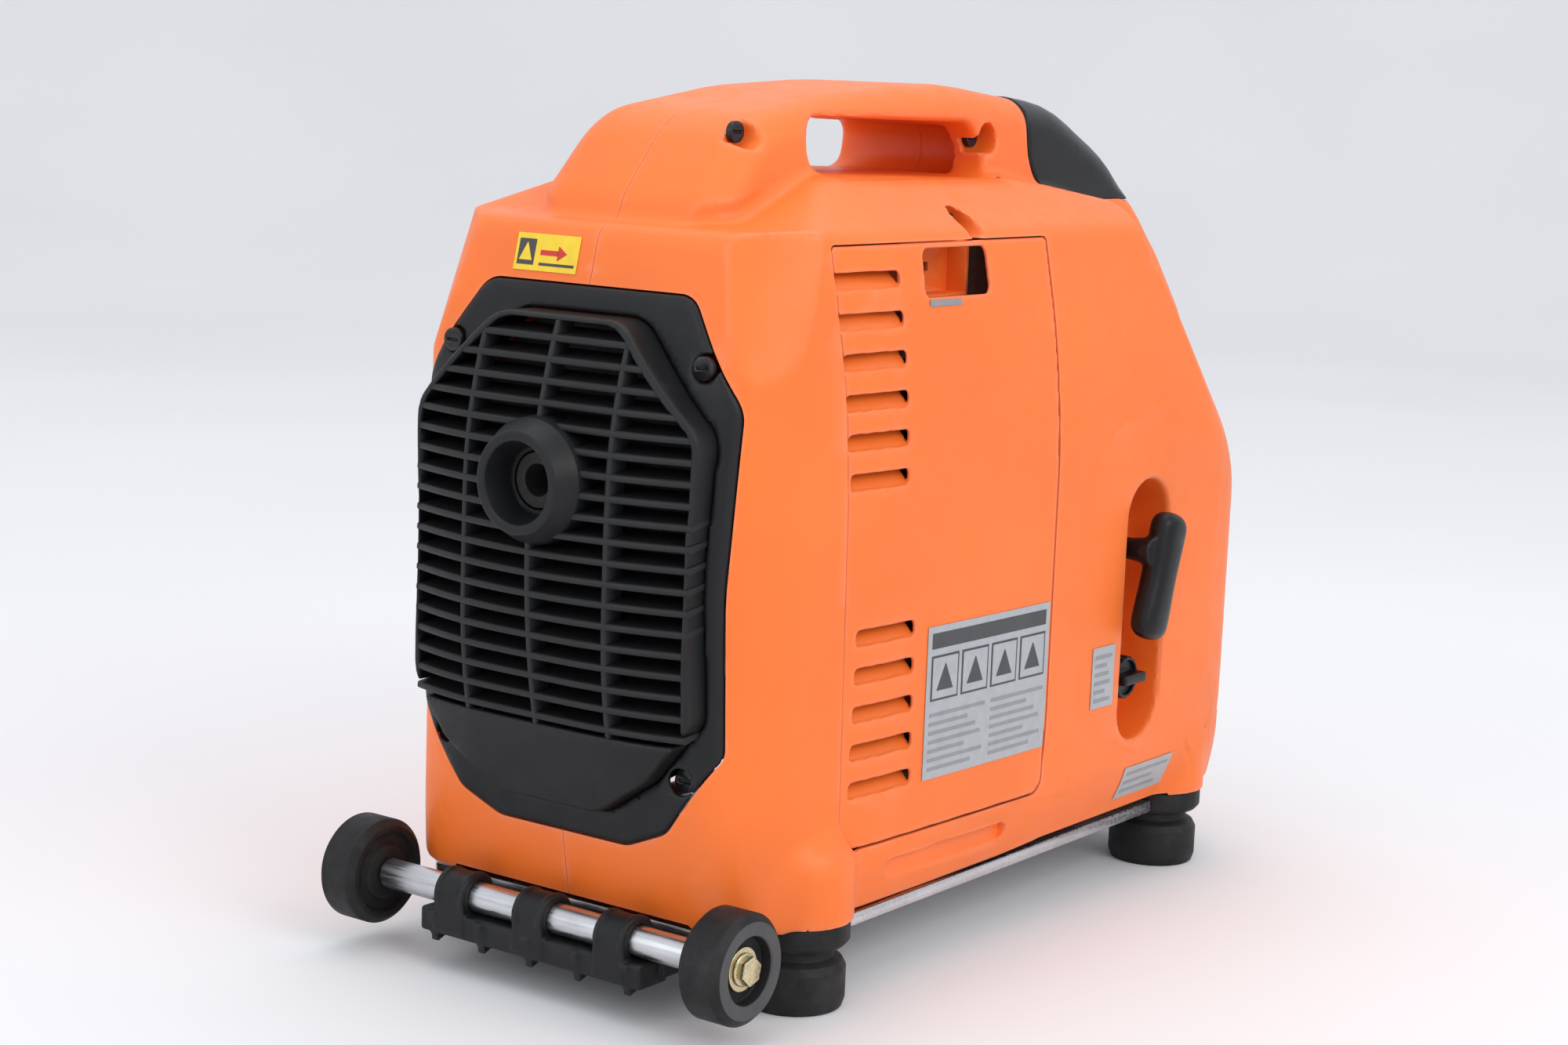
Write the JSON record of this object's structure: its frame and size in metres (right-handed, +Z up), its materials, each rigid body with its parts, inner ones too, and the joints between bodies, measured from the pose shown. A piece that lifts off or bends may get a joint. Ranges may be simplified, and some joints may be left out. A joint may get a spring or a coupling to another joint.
{
  "type": "portable generator",
  "caption": "Suitcase-style inverter generator: orange casing with carry-handle hump, black exhaust grille, service cover, recoil starter, control panel, rubber feet and clip-on wheels.",
  "frame": {"origin": "on the floor, under the middle of the bounding box of the whole machine", "axes": "+X along the machine towards the control panel, -X the exhaust end with the wheels, -Y the starter side, +Z up"},
  "size_m": [0.5934, 0.3147, 0.5005],
  "materials": {
    "orange_plastic": "satin, very fine texture",
    "charcoal_plastic": "matte moulded",
    "gloss_black": "semi-gloss",
    "rubber": "matte rubber",
    "steel": "brushed",
    "zinc": "yellow zinc plated",
    "cast_metal": "as cast",
    "copper": "enamelled windings",
    "pale_plastic": "natural",
    "cord": "braided",
    "label": "printed foil",
    "yellow_label": "printed foil",
    "red_plastic": "gloss",
    "green_lens": "clear lens"
  },
  "bodies": {
    "machine": {"left_shell": "orange_plastic", "right_shell": "orange_plastic", "warning_label": "yellow_label", "exhaust_bezel": "charcoal_plastic", "exhaust_grille": "charcoal_plastic", "exhaust_collar": "charcoal_plastic", "bezel_screw_1": "steel", "bezel_screw_2": "steel", "bezel_screw_3": "steel", "bezel_screw_4": "steel", "fuel_tank": "pale_plastic", "filler_tray": "charcoal_plastic", "starter_rope": "cord", "rope_guide": "charcoal_plastic", "fuel_valve": "steel", "fuel_hose": "rubber", "casing_screw_1": "steel", "casing_screw_2": "steel", "casing_screw_3": "steel", "choke_guide": "orange_plastic", "recoil_housing": "charcoal_plastic", "alternator_stator": "copper", "crankcase": "cast_metal", "cylinder_block": "cast_metal", "spark_plug": "pale_plastic", "carburetor": "cast_metal", "air_cleaner": "charcoal_plastic", "muffler": "steel", "tail_pipe": "cast_metal", "inverter_module": "cast_metal", "control_panel": "charcoal_plastic", "ac_socket_1": "gloss_black", "ac_socket_2": "gloss_black", "dc_socket": "gloss_black", "lamp_strip": "green_lens", "base_pan": "steel", "foot_rear_right": "rubber", "foot_rear_left": "rubber", "foot_front_right": "rubber", "foot_front_left": "rubber", "wheel_bracket": "charcoal_plastic", "axle_tube": "steel", "axle_washer_right": "zinc", "axle_bolt_right": "zinc", "axle_washer_left": "zinc", "axle_bolt_left": "zinc"},
    "cover": {"service_cover": "orange_plastic", "info_label": "label"},
    "lid": {"fuel_lid": "gloss_black"},
    "cap": {"fuel_cap": "charcoal_plastic"},
    "grip": {"starter_grip": "gloss_black"},
    "reel": {"recoil_pulley": "pale_plastic"},
    "rotor": {"flywheel": "cast_metal"},
    "valve_knob": {"fuel_knob": "gloss_black"},
    "choke": {"choke_lever": "gloss_black"},
    "engine_rocker": {"engine_switch": "red_plastic"},
    "economy_rocker": {"economy_switch": "charcoal_plastic"},
    "breaker": {"breaker_button": "pale_plastic"},
    "right_wheel": {"wheel_right": "rubber"},
    "left_wheel": {"wheel_left": "rubber"}
  },
  "joints": [
    {"name": "cover_pull", "type": "slide", "parent": "machine", "child": "cover", "axis": [0, -1, 0], "range_m": [0, 0.15]},
    {"name": "lid_hinge", "type": "hinge", "parent": "machine", "child": "lid", "pos_m": [0.2282, 0.0079, 0.431], "axis": [0, 1, 0], "range_deg": [0, 95]},
    {"name": "cap_turn", "type": "hinge", "parent": "machine", "child": "cap", "pos_m": [0.1757, 0.0079, 0.44], "axis": [0, 0, 1], "range_deg": [0, 180]},
    {"name": "starter_pull", "type": "slide", "parent": "machine", "child": "grip", "axis": [0, -1, 0], "range_m": [0, 0.45], "deforming": ["starter_rope"]},
    {"name": "reel_spin", "type": "hinge", "parent": "machine", "child": "reel", "pos_m": [0.1497, -0.0781, 0.19], "axis": [0, 1, 0], "continuous": true},
    {"name": "rotor_spin", "type": "hinge", "parent": "machine", "child": "rotor", "pos_m": [0.1497, -0.0521, 0.19], "axis": [0, 1, 0], "continuous": true},
    {"name": "valve_turn", "type": "hinge", "parent": "machine", "child": "valve_knob", "pos_m": [0.1207, -0.1221, 0.14], "axis": [0, 1, 0], "range_deg": [0, 90]},
    {"name": "choke_slide", "type": "slide", "parent": "machine", "child": "choke", "axis": [1, 0, 0], "range_m": [0, 0.03]},
    {"name": "engine_rocker_tip", "type": "hinge", "parent": "machine", "child": "engine_rocker", "pos_m": [0.2837, -0.0441, 0.222], "axis": [0, 1, 0], "range_deg": [-14, 0]},
    {"name": "economy_rocker_tip", "type": "hinge", "parent": "machine", "child": "economy_rocker", "pos_m": [0.2837, 0.0079, 0.222], "axis": [0, 1, 0], "range_deg": [-14, 0]},
    {"name": "breaker_press", "type": "slide", "parent": "machine", "child": "breaker", "axis": [-1, 0, 0], "range_m": [0, 0.004], "stiffness_N_per_m": 200},
    {"name": "right_wheel_spin", "type": "hinge", "parent": "machine", "child": "right_wheel", "pos_m": [-0.2663, -0.1226, 0.044], "axis": [0, 1, 0], "continuous": true},
    {"name": "left_wheel_spin", "type": "hinge", "parent": "machine", "child": "left_wheel", "pos_m": [-0.2663, 0.1384, 0.044], "axis": [0, 1, 0], "continuous": true}
  ],
  "couplings": [
    {"joint": "reel_spin", "follows": "starter_pull", "rad_per_m": 23}
  ]
}
